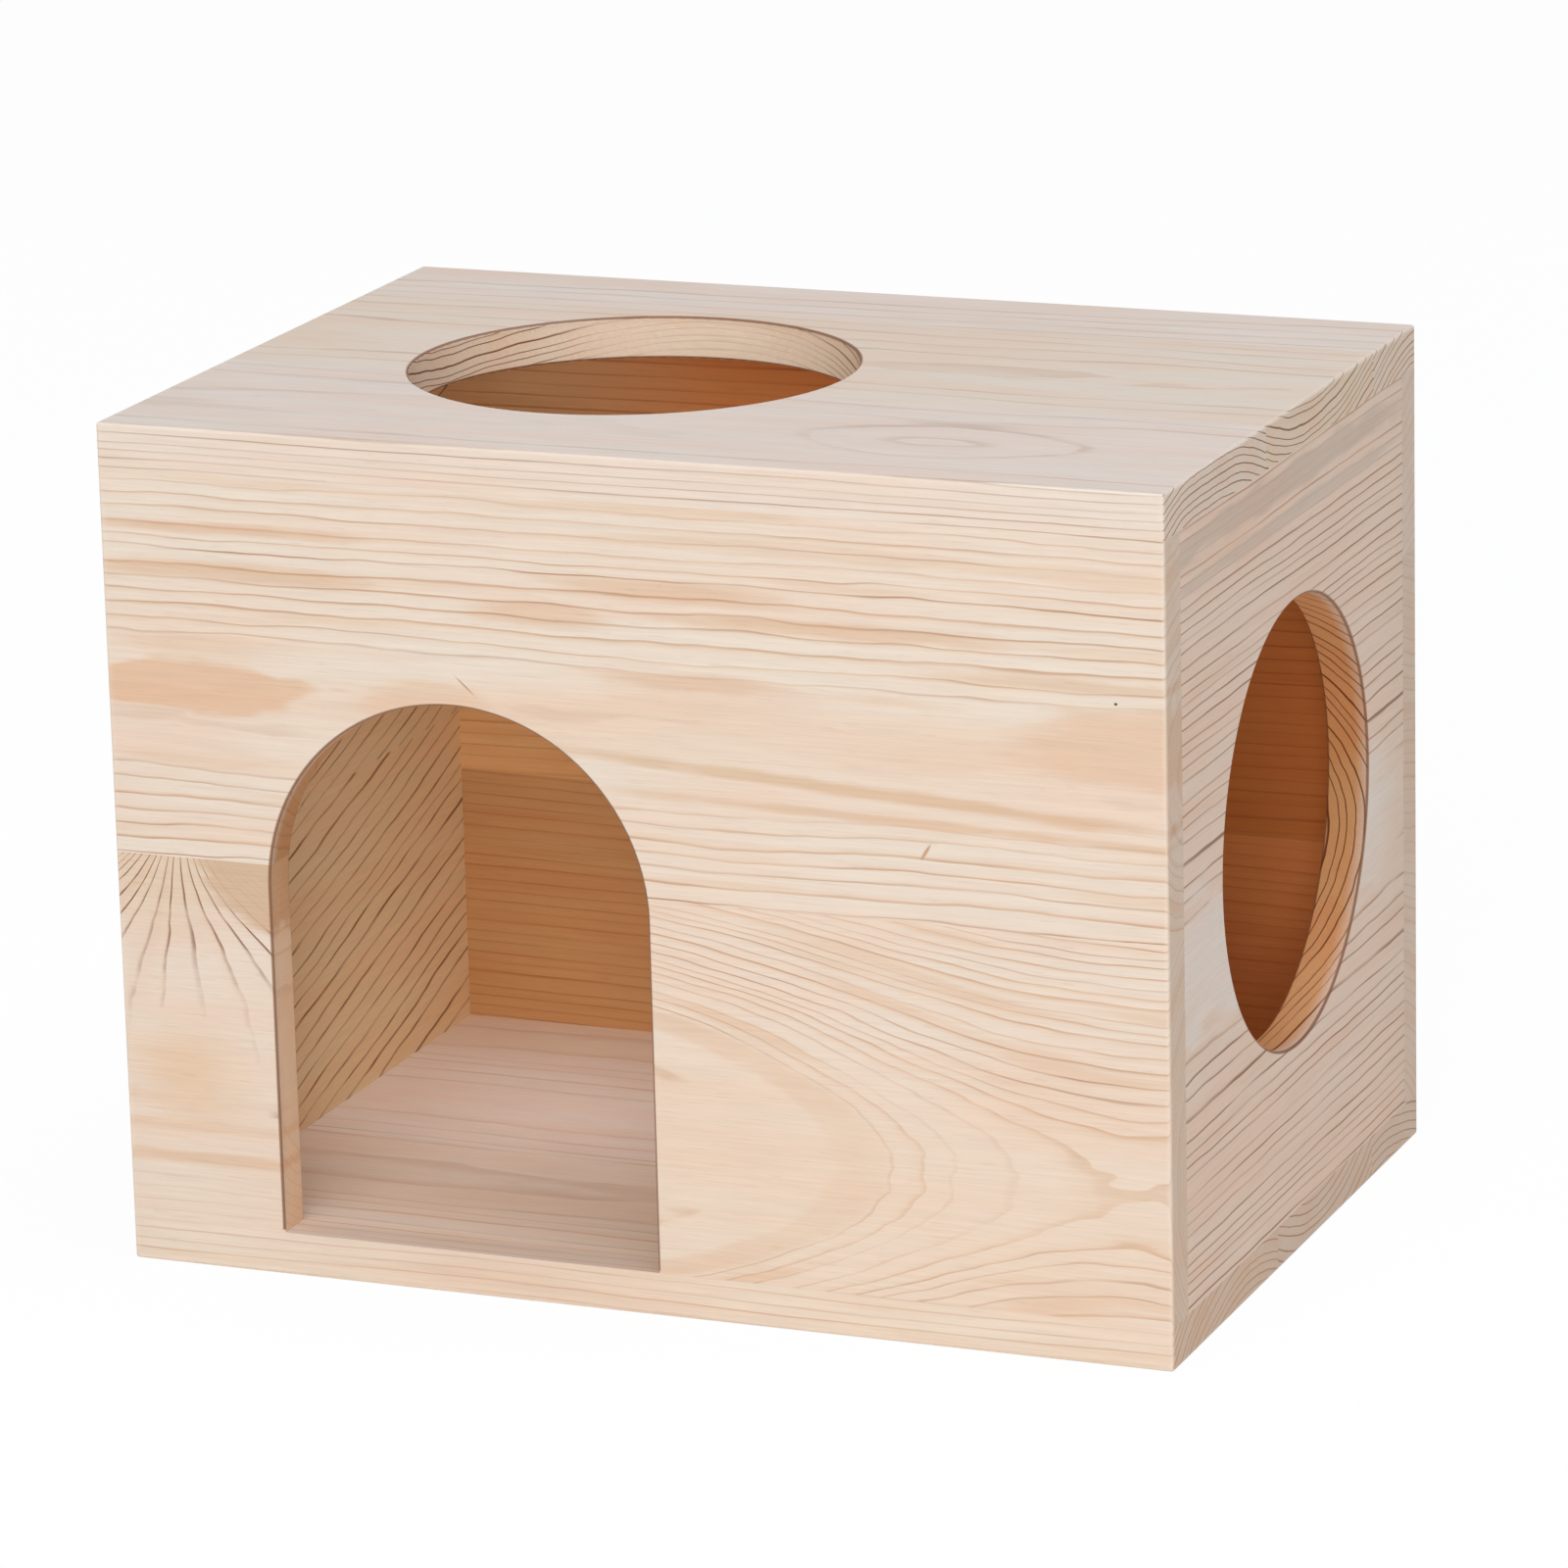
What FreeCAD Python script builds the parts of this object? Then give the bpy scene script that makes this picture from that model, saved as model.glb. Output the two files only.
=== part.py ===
import FreeCAD, Part
import Sketcher

import math
import os
from dataclasses import dataclass, field

# A small hide for a dwarf hamster: six panels of edge-glued softwood, glued and dowelled into a box.
# The box has an arched doorway in front, a round hole in the roof and one in the right wall.
#
# +X is the right, +Y the back and +Z up. The origin is the middle of the underside.
#
# Every panel has a frame of its own. Its x runs along the grain from the middle of the panel, its y
# runs across the grain from one long edge, and its z goes from the inner face (0) to the outer face.
# All staves of a panel share that frame, because a panel is glued up first and then cut and drilled
# as one, so each cutter passes every stave and marks only those in its way.

SIZES = {
    # The box, in millimetres.
    "box_width": 200.0,
    "box_depth": 140.0,
    "wall_height": 140.0,
    "panel_thickness": 8.0,
    # Stave widths. The last stave of each panel takes what is left. The roof's rear seam runs
    # behind its hole, clear of it by a margin.
    "roof_front_stave": 54.0,
    "roof_seam_margin": 4.0,
    "floor_rear_stave": 28.0,
    "floor_middle_stave": 55.0,
    "front_lower_stave": 69.0,
    "back_lower_stave": 50.0,
    "back_middle_stave": 56.0,
    "left_lower_stave": 62.0,
    "right_lower_stave": 74.0,
    # The doorway. Its middle is given from the middle of the box.
    "door_width": 73.0,
    "door_height": 101.0,
    "door_middle": -33.0,
    # The round holes. The roof's is given from the middle of the box, the wall's from its foot.
    "roof_hole_diameter": 82.0,
    "roof_hole_middle": -26.0,
    "side_hole_diameter": 82.0,
    "side_hole_height": 72.0,
    # Sanding of the box's arrises and of the rims of its openings.
    "arris_radius": 0.6,
    # Dowels: the wood left over each one's hole in a panel's face, how far it goes into a wall's
    # edge, and its gaps for glue.
    "dowel_diameter": 4.0,
    "dowel_chamfer": 0.4,
    "dowel_cover": 3.0,
    "dowel_in_edge": 9.5,
    "dowel_side_gap": 0.1,
    "dowel_end_gap": 0.5,
    # Dowel places, from the outside of the box and from the foot and the head of the walls.
    "row_inset": 15.0,
    "side_row_inset": 35.0,
    "corner_inset": 20.0,
}

# Edges are told apart by place, to this many millimetres.
TOLERANCE = 0.01

HALF_WIDTH = "Sizes.box_width / 2"
HALF_DEPTH = "Sizes.box_depth / 2"
HALF_SIDE = f"({HALF_DEPTH} - Sizes.panel_thickness)"
MID_PANEL = "Sizes.panel_thickness / 2"
END_MIDDLE = f"({HALF_WIDTH} - {MID_PANEL})"
FACE_HOLE_DEPTH = "Sizes.panel_thickness - Sizes.dowel_cover"
EDGE_HOLE_DEPTH = "Sizes.dowel_in_edge + Sizes.dowel_end_gap"
DOWEL_LENGTH = f"{EDGE_HOLE_DEPTH} + {FACE_HOLE_DEPTH} - 2 * Sizes.dowel_end_gap"
DOWEL_HOLE = "Sizes.dowel_diameter + 2 * Sizes.dowel_side_gap"

# The frames of the panels: each turns a wall's outer face outwards, and puts its foot on the floor.
X_AXIS = FreeCAD.Vector(1, 0, 0)
Z_AXIS = FreeCAD.Vector(0, 0, 1)
UPRIGHT = FreeCAD.Rotation(X_AXIS, 90)
WALL_FOOT = "Sizes.panel_thickness"
WALL_HEAD = "Sizes.panel_thickness + Sizes.wall_height"
FRAMES = {
    "roof": (FreeCAD.Rotation(), ("0", f"-{HALF_DEPTH}", WALL_HEAD)),
    "floor": (FreeCAD.Rotation(X_AXIS, 180), ("0", HALF_DEPTH, WALL_FOOT)),
    "front": (UPRIGHT, ("0", f"-{HALF_SIDE}", WALL_FOOT)),
    "back": (FreeCAD.Rotation(Z_AXIS, 180) * UPRIGHT, ("0", HALF_SIDE, WALL_FOOT)),
    "left": (
        FreeCAD.Rotation(Z_AXIS, -90) * UPRIGHT,
        (f"Sizes.panel_thickness - {HALF_WIDTH}", "0", WALL_FOOT),
    ),
    "right": (
        FreeCAD.Rotation(Z_AXIS, 90) * UPRIGHT,
        (f"{HALF_WIDTH} - Sizes.panel_thickness", "0", WALL_FOOT),
    ),
}

# Dowel rows. The row under the doorway keeps to the middle of the wood on its left and to the
# quarter points of the wood on its right.
DOOR_LEFT = "(Sizes.door_middle - Sizes.door_width / 2)"
DOOR_RIGHT = "(Sizes.door_middle + Sizes.door_width / 2)"
RIGHT_OF_DOOR = f"({HALF_WIDTH} - {DOOR_RIGHT})"
ROW_END = f"({HALF_WIDTH} - Sizes.row_inset)"
SIDE_ROW_END = f"({HALF_DEPTH} - Sizes.side_row_inset)"
LONG_ROW = (f"-{ROW_END}", "0", ROW_END)
DOOR_ROW = (
    f"({DOOR_LEFT} - {HALF_WIDTH}) / 2",
    f"{DOOR_RIGHT} + {RIGHT_OF_DOOR} / 4",
    f"{DOOR_RIGHT} + {RIGHT_OF_DOOR} * 3 / 4",
)
SIDE_ROW = (f"-{SIDE_ROW_END}", SIDE_ROW_END)
CORNER_ROW = ("Sizes.corner_inset", "Sizes.wall_height - Sizes.corner_inset")


def cover_dowels(near_row, far_row):
    """Dowel places in a roof or floor: over the walls at its near, far and short edges."""
    near = [(x, MID_PANEL) for x in near_row]
    far = [(x, f"Sizes.box_depth - {MID_PANEL}") for x in far_row]
    sides = [
        (f"{sign}{END_MIDDLE}", f"{HALF_DEPTH} + {y}")
        for sign in ("-", "")
        for y in SIDE_ROW
    ]
    return near + far + sides


def corner_dowels():
    """Dowel places in the front and back walls: into the ends of the side walls."""
    return [(f"{sign}{END_MIDDLE}", y) for sign in ("-", "") for y in CORNER_ROW]


@dataclass
class Stave:
    """One board of a panel, between two long edges and two ends, as the saw leaves it."""

    name: str
    low: str
    high: str
    left: str
    right: str


@dataclass
class Panel:
    """A glued-up panel: its staves, its opening, what is sanded and where it is drilled."""

    frame: str
    staves: list
    draw_opening: object = None
    outer_ends: bool = False
    outer_sides: bool = False
    face_dowels: list = field(default_factory=list)
    foot_row: tuple = ()
    head_row: tuple = ()
    end_row: tuple = ()


def new_body(name, frame):
    """Start a sub-part whose origin is that of its panel."""
    rotation, places = FRAMES[frame]
    body = doc.addObject("PartDesign::Body", name)
    body.Label = name
    body.Placement = FreeCAD.Placement(FreeCAD.Vector(), rotation)
    for axis, place in zip("xyz", places):
        body.setExpression(f"Placement.Base.{axis}", place)
    return body


def new_sketch(body, name, plane="XY_Plane", offset="0"):
    """A sketch on one of the body's origin planes, moved by offset along that plane's normal."""
    support = next(item for item in body.Origin.OriginFeatures if item.Role == plane)
    sketch = body.newObject("Sketcher::SketchObject", f"{name}_sketch")
    sketch.AttachmentSupport = [(support, "")]
    sketch.MapMode = "FlatFace"
    sketch.setExpression("AttachmentOffset.Base.z", offset)
    return sketch


def bind(sketch, name, constraint, expression):
    """Add a dimension to a sketch and tie it to an expression on the sheet."""
    sketch.renameConstraint(sketch.addConstraint(constraint), name)
    sketch.setExpression(f"Constraints.{name}", expression)


def place_point(sketch, name, geometry, point, x=None, y=None):
    """Tie a point's distances from the sketch's origin to expressions, from where it was drawn."""
    drawn = sketch.getPoint(geometry, point)
    for kind, distance, expression in (("X", drawn.x, x), ("Y", drawn.y, y)):
        if expression is not None:
            constraint = Sketcher.Constraint(f"Distance{kind}", -1, 1, geometry, point, distance)
            bind(sketch, f"{name}_{kind.lower()}", constraint, expression)


def draw_blank(sketch, stave):
    """The rectangle of a stave, from its foot clockwise seen from inside: four tied lines."""
    corners = [FreeCAD.Vector(x, y, 0) for x, y in ((0, 0), (1, 0), (1, 1), (0, 1))]
    for start, end in zip(corners, corners[1:] + corners[:1]):
        sketch.addGeometry(Part.LineSegment(start, end))
    for line in range(4):
        sketch.addConstraint(Sketcher.Constraint("Coincident", line, 2, (line + 1) % 4, 1))
        sketch.addConstraint(Sketcher.Constraint("Vertical" if line % 2 else "Horizontal", line))
    place_point(sketch, "near_corner", 0, 1, stave.left, stave.low)
    place_point(sketch, "far_corner", 2, 1, stave.right, stave.high)


def draw_circles(sketch, centres, diameter):
    """A circle of one diameter at each centre (x, y)."""
    for number, (x, y) in enumerate(centres):
        circle = sketch.addGeometry(Part.Circle(FreeCAD.Vector(), Z_AXIS, 1.0))
        place_point(sketch, f"centre{number}", circle, 3, x, y)
        constraint = Sketcher.Constraint("Diameter", circle, 2.0)
        bind(sketch, f"diameter{number}", constraint, diameter)


def draw_roof_hole(sketch):
    """The round hole of the roof, midway between front and back."""
    draw_circles(sketch, [("Sizes.roof_hole_middle", HALF_DEPTH)], "Sizes.roof_hole_diameter")


def draw_side_hole(sketch):
    """The round hole of the right wall, midway between front and back."""
    draw_circles(sketch, [("0", "Sizes.side_hole_height")], "Sizes.side_hole_diameter")


def draw_doorway(sketch):
    """The doorway: two jambs that run on into a half circle, open down to the foot of the wall."""
    radius = sheet.door_width / 2
    middle = sheet.door_middle
    spring = sheet.door_height - radius
    crown = Part.Circle(FreeCAD.Vector(middle, spring, 0), Z_AXIS, radius)
    corners = [
        FreeCAD.Vector(middle - radius, 0, 0),
        FreeCAD.Vector(middle - radius, spring, 0),
        FreeCAD.Vector(middle + radius, spring, 0),
        FreeCAD.Vector(middle + radius, 0, 0),
    ]
    left = sketch.addGeometry(Part.LineSegment(corners[0], corners[1]))
    arch = sketch.addGeometry(Part.ArcOfCircle(crown, 0, math.pi))
    right = sketch.addGeometry(Part.LineSegment(corners[2], corners[3]))
    sill = sketch.addGeometry(Part.LineSegment(corners[3], corners[0]))
    for jamb in (left, right):
        sketch.addConstraint(Sketcher.Constraint("Vertical", jamb))
    sketch.addConstraint(Sketcher.Constraint("Tangent", left, 2, arch, 2))
    sketch.addConstraint(Sketcher.Constraint("Tangent", arch, 1, right, 1))
    sketch.addConstraint(Sketcher.Constraint("Coincident", right, 2, sill, 1))
    sketch.addConstraint(Sketcher.Constraint("Coincident", sill, 2, left, 1))
    sketch.addConstraint(Sketcher.Constraint("Horizontal", sill))
    place_point(sketch, "sill", sill, 1, y="0")
    place_point(
        sketch, "crown", arch, 3, "Sizes.door_middle", "Sizes.door_height - Sizes.door_width / 2"
    )
    bind(sketch, "crown_radius", Sketcher.Constraint("Radius", arch, radius), "Sizes.door_width / 2")


def cut(body, blank, sketch, inward, depth=None):
    """Cut a sketch's outline into a stave, through it or to a depth, along the sketch's normal.

    blank is the box around the stave. A stave that the outline doesn't reach stays as it is.
    """
    sketch.recompute()
    if not sketch.Shape.Edges:
        raise RuntimeError(f"{sketch.Label} has no outline")
    if not any(blank.intersect(edge.BoundBox) for edge in sketch.Shape.Edges):
        body.removeObject(sketch)
        doc.removeObject(sketch.Name)
        return
    feature = body.newObject("PartDesign::Pocket", sketch.Name.replace("_sketch", "_cut"))
    feature.Profile = sketch
    feature.Reversed = inward
    if depth is None:
        feature.Type = "ThroughAll"
    else:
        feature.setExpression("Length", depth)


def lies_on(edge, axis, place):
    """True for an edge that lies in the plane where the axis has that value."""
    box = edge.BoundBox
    low = getattr(box, f"{axis}Min")
    high = getattr(box, f"{axis}Max")
    return abs(low - place) < TOLERANCE and abs(high - place) < TOLERANCE


def sanded_edges(shape, panel, outline, blank):
    """Names of the edges of a stave that are sanded: the box's arrises and the opening's rims.

    outline is the box around the panel and blank the one around the stave, in the panel's frame.
    """
    outer = [("Z", outline.ZMax)]
    if panel.outer_ends:
        outer += [("X", outline.XMin), ("X", outline.XMax)]
    if panel.outer_sides:
        outer += [("Y", outline.YMin), ("Y", outline.YMax)]
    faces = [("Z", blank.ZMin), ("Z", blank.ZMax)]
    sides = [("X", blank.XMin), ("X", blank.XMax), ("Y", blank.YMin), ("Y", blank.YMax)]
    names = []
    for number, edge in enumerate(shape.Edges, start=1):
        arris = sum(lies_on(edge, *plane) for plane in outer) > 1
        on_face = any(lies_on(edge, *plane) for plane in faces)
        on_side = any(lies_on(edge, *plane) for plane in sides)
        if arris or (on_face and not on_side):
            names.append(f"Edge{number}")
    return names


def sand(body, panel, outline, blank):
    """Round the sanded edges of a stave."""
    doc.recompute()
    base = body.Tip
    edges = sanded_edges(base.Shape, panel, outline, blank)
    if edges:
        feature = body.newObject("PartDesign::Fillet", f"{body.Name}_sanding")
        feature.Base = (base, edges)
        feature.setExpression("Radius", "Sizes.arris_radius")


def drill(body, panel, blank):
    """Bore a stave's blind dowel holes: into its inner face, its long edges and its ends."""
    foot = [(x, MID_PANEL) for x in panel.foot_row]
    head = [(x, MID_PANEL) for x in panel.head_row]
    ends = [(y, MID_PANEL) for y in panel.end_row]
    for name, plane, offset, centres, inward, depth in (
        ("face", "XY_Plane", "0", panel.face_dowels, True, FACE_HOLE_DEPTH),
        ("foot", "XZ_Plane", "0", foot, False, EDGE_HOLE_DEPTH),
        ("head", "XZ_Plane", "-Sizes.wall_height", head, True, EDGE_HOLE_DEPTH),
        ("near_end", "YZ_Plane", f"-{HALF_SIDE}", ends, True, EDGE_HOLE_DEPTH),
        ("far_end", "YZ_Plane", HALF_SIDE, ends, False, EDGE_HOLE_DEPTH),
    ):
        if centres:
            sketch = new_sketch(body, f"{body.Name}_{name}", plane, offset)
            draw_circles(sketch, centres, DOWEL_HOLE)
            cut(body, blank, sketch, inward, depth)


def saw(panel, stave):
    """The plain board of a stave."""
    body = new_body(stave.name, panel.frame)
    sketch = new_sketch(body, f"{stave.name}_board")
    draw_blank(sketch, stave)
    board = body.newObject("PartDesign::Pad", f"{stave.name}_board")
    board.Profile = sketch
    board.setExpression("Length", "Sizes.panel_thickness")
    return body


def build_panel(panel):
    """All staves of a panel, in the order of the shop: sawn, cut out, sanded, drilled."""
    bodies = [saw(panel, stave) for stave in panel.staves]
    doc.recompute()
    outline = FreeCAD.BoundBox()
    for body in bodies:
        outline.add(body.Tip.Shape.BoundBox)
    for body in bodies:
        blank = body.Tip.Shape.BoundBox
        if panel.draw_opening:
            sketch = new_sketch(body, f"{body.Name}_opening")
            panel.draw_opening(sketch)
            cut(body, blank, sketch, inward=True)
        sand(body, panel, outline, blank)
        drill(body, panel, blank)
    return bodies


def build_dowels(name, frame, centres):
    """The dowels between a panel and the wall edges behind its inner face, with chamfered ends."""
    body = new_body(name, frame)
    sketch = new_sketch(body, name, offset="-Sizes.dowel_in_edge")
    draw_circles(sketch, centres, "Sizes.dowel_diameter")
    rods = body.newObject("PartDesign::Pad", f"{name}_rods")
    rods.Profile = sketch
    rods.setExpression("Length", DOWEL_LENGTH)
    doc.recompute()
    rims = [f"Edge{number}" for number, edge in enumerate(rods.Shape.Edges, start=1) if edge.Closed]
    chamfer = body.newObject("PartDesign::Chamfer", f"{name}_ends")
    chamfer.Base = (rods, rims)
    chamfer.setExpression("Size", "Sizes.dowel_chamfer")
    return body


def side_by_side(names, seams, width, half_length=HALF_WIDTH):
    """Staves of full length that fill a panel's width, parted by seams."""
    lows = ("0", *seams)
    highs = (*seams, width)
    return [
        Stave(name, low, high, f"-{half_length}", half_length)
        for name, low, high in zip(names, lows, highs)
    ]


ROOF = Panel(
    frame="roof",
    staves=side_by_side(
        ("roof_board_front", "roof_board_middle", "roof_board_rear"),
        (
            "Sizes.roof_front_stave",
            f"{HALF_DEPTH} + Sizes.roof_hole_diameter / 2 + Sizes.roof_seam_margin",
        ),
        "Sizes.box_depth",
    ),
    draw_opening=draw_roof_hole,
    outer_ends=True,
    outer_sides=True,
    face_dowels=cover_dowels(near_row=LONG_ROW, far_row=LONG_ROW),
)
FLOOR = Panel(
    frame="floor",
    staves=side_by_side(
        ("floor_board_rear", "floor_board_middle", "floor_board_front"),
        ("Sizes.floor_rear_stave", "Sizes.floor_rear_stave + Sizes.floor_middle_stave"),
        "Sizes.box_depth",
    ),
    outer_ends=True,
    outer_sides=True,
    face_dowels=cover_dowels(near_row=LONG_ROW, far_row=DOOR_ROW),
)
# The doorway parts the lower stave of the front wall in two.
SEAM = "Sizes.front_lower_stave"
FRONT_WALL = Panel(
    frame="front",
    staves=[
        Stave("front_board_lower_left", "0", SEAM, f"-{HALF_WIDTH}", "Sizes.door_middle"),
        Stave("front_board_lower_right", "0", SEAM, "Sizes.door_middle", HALF_WIDTH),
        Stave("front_board_upper", SEAM, "Sizes.wall_height", f"-{HALF_WIDTH}", HALF_WIDTH),
    ],
    draw_opening=draw_doorway,
    outer_ends=True,
    face_dowels=corner_dowels(),
    foot_row=DOOR_ROW,
    head_row=LONG_ROW,
)
BACK_WALL = Panel(
    frame="back",
    staves=side_by_side(
        ("back_board_lower", "back_board_middle", "back_board_upper"),
        ("Sizes.back_lower_stave", "Sizes.back_lower_stave + Sizes.back_middle_stave"),
        "Sizes.wall_height",
    ),
    outer_ends=True,
    face_dowels=corner_dowels(),
    foot_row=LONG_ROW,
    head_row=LONG_ROW,
)
LEFT_WALL = Panel(
    frame="left",
    staves=side_by_side(
        ("left_board_lower", "left_board_upper"),
        ("Sizes.left_lower_stave",),
        "Sizes.wall_height",
        HALF_SIDE,
    ),
    foot_row=SIDE_ROW,
    head_row=SIDE_ROW,
    end_row=CORNER_ROW,
)
RIGHT_WALL = Panel(
    frame="right",
    staves=side_by_side(
        ("right_board_lower", "right_board_upper"),
        ("Sizes.right_lower_stave",),
        "Sizes.wall_height",
        HALF_SIDE,
    ),
    draw_opening=draw_side_hole,
    foot_row=SIDE_ROW,
    head_row=SIDE_ROW,
    end_row=CORNER_ROW,
)

doc = FreeCAD.newDocument("hamster_house")
sheet = doc.addObject("Spreadsheet::Sheet", "Sizes")
for row, (alias, number) in enumerate(SIZES.items(), start=1):
    sheet.set(f"A{row}", alias.replace("_", " "))
    sheet.set(f"B{row}", str(number))
    sheet.setAlias(f"B{row}", alias)
doc.recompute()

sub_parts = []
for panel in (ROOF, FLOOR, FRONT_WALL, BACK_WALL, LEFT_WALL, RIGHT_WALL):
    sub_parts += build_panel(panel)
sub_parts += [
    build_dowels("roof_dowels", "roof", ROOF.face_dowels),
    build_dowels("floor_dowels", "floor", FLOOR.face_dowels),
    build_dowels("front_dowels", "front", FRONT_WALL.face_dowels),
    build_dowels("back_dowels", "back", BACK_WALL.face_dowels),
]
doc.recompute()

for item in doc.Objects:
    if {"Invalid", "Error"} & set(item.State):
        raise RuntimeError(f"{item.Label} failed: {item.State}")
for body in sub_parts:
    if body.Shape.isNull() or not body.Shape.isValid():
        raise RuntimeError(f"{body.Label} has no valid shape")

os.makedirs("parts", exist_ok=True)
for body in sub_parts:
    body.Shape.exportStep(f"parts/{body.Label}.step")
    print(f"{body.Label}: {len(body.Shape.Solids)} solids, {body.Shape.Volume:.1f} mm3")
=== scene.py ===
"""A wooden hide for a dwarf hamster: six panels of edge-glued pine, sanded and left bare.

Grain is described as a joiner reads a board, in millimetres along the grain, across it and down from
the outer face. The scene itself is in metres: +X is the right, +Y the back, +Z up, and the origin is
the middle of the underside.
"""

import logging
import math
from collections.abc import Callable
from dataclasses import dataclass, field
from enum import Enum
from functools import partial
from typing import Any

import bpy
from mathutils import Matrix, Vector

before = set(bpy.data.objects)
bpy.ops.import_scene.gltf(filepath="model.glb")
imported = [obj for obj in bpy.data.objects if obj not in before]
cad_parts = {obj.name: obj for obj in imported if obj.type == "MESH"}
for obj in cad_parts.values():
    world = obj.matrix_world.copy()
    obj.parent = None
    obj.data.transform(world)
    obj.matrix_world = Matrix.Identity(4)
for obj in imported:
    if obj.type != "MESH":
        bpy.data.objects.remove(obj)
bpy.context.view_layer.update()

LOG = logging.getLogger("hamster_house")
MM = 1000.0

# The house in mm: half its width and depth, its height and half of that, and its boards' thickness.
HALF_WIDTH = 100.0
HALF_DEPTH = 70.0
HEIGHT = 156.0
HALF_HEIGHT = HEIGHT / 2
BOARD = 8.0

# Node options that many places share, and the tone that changes nothing, because tones multiply.
SMOOTH = {"interpolation_type": "SMOOTHSTEP"}
MULTIPLY = {"data_type": "RGBA", "blend_type": "MULTIPLY"}
NO_TONE = "#FFFFFF"

# A graph's own add and its sockets, and three or two measures: of a place, a size or a range.
Add = Callable[..., Any]
Socket = bpy.types.NodeSocket
Triple = tuple[float, float, float]
Pair = tuple[float, float]


def linear(hex_colour: str, alpha: float = 1.0) -> tuple[float, float, float, float]:
    """Turn an sRGB hex colour into the linear colour that a shader takes.

    Args:
        hex_colour: Six hex digits, with or without a leading hash.
        alpha: The fourth channel.

    Returns:
        Linear red, green and blue, and alpha.
    """
    digits = hex_colour.lstrip("#")
    channels = [int(digits[i : i + 2], 16) / 255 for i in (0, 2, 4)]
    curve = [c / 12.92 if c <= 0.04045 else ((c + 0.055) / 1.055) ** 2.4 for c in channels]
    return (*curve, alpha)


@dataclass
class Graph:
    """A node tree that is filled from left to right."""

    tree: bpy.types.NodeTree

    def add(self, kind: str, *values: Any, out: int | str = 0, **settings: Any) -> Any:
        """Add a node with its settings and links.

        Args:
            kind: The node's type, without its "ShaderNode" prefix.
            values: Its shown inputs in order: a number, a tuple, a socket to link, or None to skip.
            out: Name of the output that is handed back, or its number among the shown ones.
            settings: The node's own options.

        Returns:
            The chosen output, or the node itself if it has none.
        """
        node = self.tree.nodes.new(kind if kind.startswith("Node") else f"ShaderNode{kind}")
        for option, choice in settings.items():
            setattr(node, option, choice)
        shown = [socket for socket in node.inputs if socket.enabled]
        for socket, value in zip(shown, values):
            if isinstance(value, bpy.types.NodeSocket):
                self.tree.links.new(value, socket)
            elif value is not None:
                socket.default_value = value
        if not node.outputs:
            return node
        if isinstance(out, str):
            return node.outputs[out]
        return [socket for socket in node.outputs if socket.enabled][out]


def new_material(name: str) -> tuple[bpy.types.Material, Graph]:
    """Start a material with an empty graph.

    Args:
        name: The material's name.

    Returns:
        The material and its graph.
    """
    made = bpy.data.materials.new(name)
    made.use_nodes = True
    made.node_tree.nodes.clear()
    return made, Graph(made.node_tree)


def apply_finish(name: str, made: bpy.types.Material, finish: str) -> None:
    """Give a piece its material in place of the plain one.

    Args:
        name: The piece's node name.
        made: The material.
        finish: The finish's name, for the log.
    """
    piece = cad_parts[name]
    piece.data.materials.clear()
    piece.data.materials.append(made)
    LOG.info("%s: dressed as %s", name, finish)


class Lay(Enum):
    """How a panel lies: turn, signs and shift that take an object's place to the board's own.

    The board's own directions are along the grain, across it, and down from the outer face. Each
    value holds an Euler turn in degrees, the sign of each object axis before it, and the shift in mm.
    """

    ROOF = ((0, 0, 0), (1, 1, -1), (0, HALF_DEPTH, HEIGHT))
    FLOOR = ((0, 0, 0), (1, 1, 1), (0, HALF_DEPTH, 0))
    FRONT = ((-90, 0, 0), (1, -1, 1), (0, 0, HALF_DEPTH))
    BACK = ((-90, 0, 0), (1, 1, 1), (0, 0, HALF_DEPTH))
    LEFT = ((-90, -90, 0), (1, 1, 1), (0, 0, HALF_WIDTH))
    RIGHT = ((-90, -90, 0), (-1, 1, 1), (0, 0, HALF_WIDTH))


@dataclass(frozen=True)
class Heart:
    """Where the heart of the tree ran, seen from a board, in mm.

    across and depth give the place at the middle of the board's length, climb and dive its slope,
    and sag how much deeper it gets with the square of the distance from that middle.
    """

    across: float
    depth: float
    climb: float = 0.0
    dive: float = 0.0
    sag: float = 0.0


@dataclass(frozen=True)
class Swell:
    """A bulge of the growth rings, as round a knot: its middle, its reach each way, and its height."""

    middle: Triple
    reach: Triple
    height: float


@dataclass(frozen=True)
class Fan:
    """Rings that spread like a fountain from a knot sawn off at a board's edge.

    middle is their middle on that edge (along, across) and ring their width there. They widen by
    e to the power of flare, most of it within reach, and give way to plain grain between the two
    places of fade across the board. start is the distance to the heart that they count from, well
    past any young rings.
    """

    middle: Pair
    ring: float
    fade: Pair
    flare: float = 1.8
    reach: float = 20.0
    start: float = 200.0


@dataclass(frozen=True)
class Patch:
    """A place on a board with a tone of its own, in mm along and across, turned in degrees.

    quiet is how far it stills the rings, soft the share of its reach that its edge takes, and wander
    how far that edge strays.
    """

    middle: Pair
    reach: Pair
    tone: str = NO_TONE
    quiet: float = 0.0
    turn: float = 0.0
    soft: float = 0.5
    wander: float = 1.0


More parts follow.
